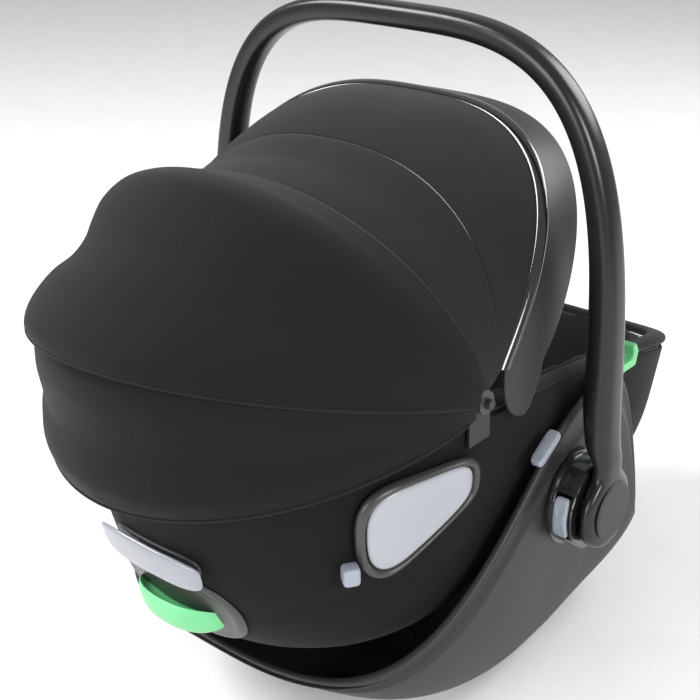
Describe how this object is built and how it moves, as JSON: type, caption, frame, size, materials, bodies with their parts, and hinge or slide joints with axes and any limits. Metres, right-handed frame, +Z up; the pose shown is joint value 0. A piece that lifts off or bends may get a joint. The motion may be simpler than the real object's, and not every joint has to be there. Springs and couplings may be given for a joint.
{
  "type": "infant car seat",
  "caption": "Infant carrier car seat: reclining padded bucket in a rocker base, swinging carry handle, folding sun canopy, side impact pods, headrest and harness.",
  "frame": {"origin": "on the floor, under the middle of the overall length and width", "axes": "+X across the seat, +Y towards the head end, +Z up"},
  "size_m": [0.4444, 0.663, 0.582],
  "materials": {
    "base_plastic": "fine moulded grain, satin",
    "gloss_black": "polished",
    "handle_plastic": "satin, faint grain",
    "cap_plastic": "matte",
    "blue_grey_plastic": "satin",
    "mint_plastic": "satin",
    "pod_silver": "fine satin",
    "trim_plastic": "matte",
    "shell_plastic": "matte",
    "steel": "zinc plated",
    "rubber_black": "matte",
    "foam_white": "expanded bead foam",
    "black_fabric": "stretch knit",
    "charcoal_fabric": "tight plain weave",
    "heather_fabric": "marled jersey",
    "webbing": "ribbed webbing",
    "red_plastic": "polished"
  },
  "bodies": {
    "base": {"base_shell": "base_plastic", "foot_pads": "rubber_black", "floor_screws": "steel", "cradle_left": "trim_plastic", "cradle_right": "trim_plastic", "boss_left": "gloss_black", "boss_right": "gloss_black", "pivot_pin_left": "steel", "pivot_pin_right": "steel", "lock_gear_left": "trim_plastic", "lock_gear_right": "trim_plastic", "lap_belt_guide_left": "mint_plastic", "lap_belt_guide_right": "mint_plastic"},
    "handle": {"handle_arch": "handle_plastic", "handle_hub_left": "handle_plastic", "handle_hub_right": "handle_plastic", "hub_cap_left": "cap_plastic", "hub_cap_right": "cap_plastic"},
    "handle_button_left": {"handle_button_left": "blue_grey_plastic"},
    "handle_button_right": {"handle_button_right": "blue_grey_plastic"},
    "adaptor_button_left": {"adaptor_button_left": "blue_grey_plastic"},
    "adaptor_button_right": {"adaptor_button_right": "blue_grey_plastic"},
    "seat": {"seat_shell": "shell_plastic", "shell_cover": "black_fabric", "rim_trim": "black_fabric", "foam_liner": "foam_white", "seat_pad": "black_fabric", "insert_pad": "heather_fabric", "runner_left": "trim_plastic", "runner_right": "trim_plastic", "rear_bezel": "trim_plastic", "shoulder_belt_hook": "mint_plastic", "canopy_mount_left": "trim_plastic", "canopy_mount_right": "trim_plastic", "shoulder_strap_left": "webbing", "shoulder_strap_right": "webbing", "hip_strap_left": "webbing", "hip_strap_right": "webbing", "crotch_strap": "webbing", "buckle_body": "trim_plastic", "buckle_tongues": "steel", "adjuster_housing": "trim_plastic", "rear_panel": "black_fabric"},
    "recline_paddle": {"recline_paddle": "blue_grey_plastic"},
    "pod_left": {"pod_frame_left": "trim_plastic", "pod_panel_left": "pod_silver"},
    "pod_right": {"pod_frame_right": "trim_plastic", "pod_panel_right": "pod_silver"},
    "pod_button_left": {"pod_button_left": "blue_grey_plastic"},
    "pod_button_right": {"pod_button_right": "blue_grey_plastic"},
    "headrest": {"headrest_shell": "trim_plastic", "headrest_pad": "charcoal_fabric"},
    "buckle_button": {"buckle_button": "red_plastic"},
    "adjuster_button": {"adjuster_button": "blue_grey_plastic"},
    "rear_bow": {"rear_bow": "trim_plastic", "third_panel": "black_fabric"},
    "middle_bow": {"middle_bow": "trim_plastic", "second_panel": "charcoal_fabric", "front_panel": "charcoal_fabric"},
    "visor": {"visor_band": "cap_plastic"}
  },
  "joints": [
    {"name": "handle_swing", "type": "hinge", "parent": "base", "child": "handle", "pos_m": [0, -0.01616, 0.2], "axis": [1, 0, 0], "range_deg": [0, 55]},
    {"name": "handle_button_left_press", "type": "slide", "parent": "base", "child": "handle_button_left", "axis": [0, -1, 0], "range_m": [0, 0.0035], "stiffness_N_per_m": 400, "springref_m": -0.002},
    {"name": "adaptor_button_left_press", "type": "slide", "parent": "base", "child": "adaptor_button_left", "axis": [0, -0.5, -0.866], "range_m": [0, 0.0025], "stiffness_N_per_m": 400, "springref_m": -0.002},
    {"name": "pod_left_open", "type": "hinge", "parent": "seat", "child": "pod_left", "pos_m": [-0.166, 0.09484, 0.265], "axis": [0, 0, 1], "range_deg": [0, 20]},
    {"name": "pod_button_left_press", "type": "slide", "parent": "seat", "child": "pod_button_left", "axis": [0.85, -0.5268, 0], "range_m": [0, 0.002], "stiffness_N_per_m": 300, "springref_m": -0.002},
    {"name": "handle_button_right_press", "type": "slide", "parent": "base", "child": "handle_button_right", "axis": [0, -1, 0], "range_m": [0, 0.0035], "stiffness_N_per_m": 400, "springref_m": -0.002},
    {"name": "adaptor_button_right_press", "type": "slide", "parent": "base", "child": "adaptor_button_right", "axis": [0, -0.5, -0.866], "range_m": [0, 0.0025], "stiffness_N_per_m": 400, "springref_m": -0.002},
    {"name": "pod_right_open", "type": "hinge", "parent": "seat", "child": "pod_right", "pos_m": [0.166, 0.09484, 0.265], "axis": [0, 0, -1], "range_deg": [0, 20]},
    {"name": "pod_button_right_press", "type": "slide", "parent": "seat", "child": "pod_button_right", "axis": [-0.85, -0.5268, 0], "range_m": [0, 0.002], "stiffness_N_per_m": 300, "springref_m": -0.002},
    {"name": "seat_recline", "type": "hinge", "parent": "base", "child": "seat", "pos_m": [0, 0.08384, 0.35], "axis": [1, 0, 0], "range_deg": [-10, 0]},
    {"name": "recline_paddle_press", "type": "slide", "parent": "seat", "child": "recline_paddle", "axis": [0, -1, 0], "range_m": [0, 0.0025], "stiffness_N_per_m": 400, "springref_m": -0.002},
    {"name": "headrest_height", "type": "slide", "parent": "seat", "child": "headrest", "axis": [0, 0.2419, 0.9703], "range_m": [0, 0.055]},
    {"name": "buckle_release", "type": "slide", "parent": "seat", "child": "buckle_button", "axis": [0, 0.9063, -0.4226], "range_m": [0, 0.0025], "stiffness_N_per_m": 500, "springref_m": -0.003},
    {"name": "adjuster_press", "type": "slide", "parent": "seat", "child": "adjuster_button", "axis": [0, -0.2419, -0.9703], "range_m": [0, 0.0025], "stiffness_N_per_m": 400, "springref_m": -0.002},
    {"name": "canopy_fold", "type": "hinge", "parent": "seat", "child": "rear_bow", "pos_m": [0, 0.09884, 0.329], "axis": [1, 0, 0], "range_deg": [-12, 0], "deforming": ["rear_panel", "third_panel"]},
    {"name": "canopy_fold_middle", "type": "hinge", "parent": "rear_bow", "child": "middle_bow", "pos_m": [0, 0.09884, 0.329], "axis": [1, 0, 0], "range_deg": [-24, 0], "deforming": ["second_panel", "front_panel"]},
    {"name": "canopy_fold_visor", "type": "hinge", "parent": "middle_bow", "child": "visor", "pos_m": [0, 0.09884, 0.329], "axis": [1, 0, 0], "range_deg": [-32, 0]}
  ],
  "couplings": [
    {"joint": "canopy_fold_middle", "follows": "canopy_fold", "ratio": 2},
    {"joint": "canopy_fold_visor", "follows": "canopy_fold", "ratio": 2.6}
  ]
}
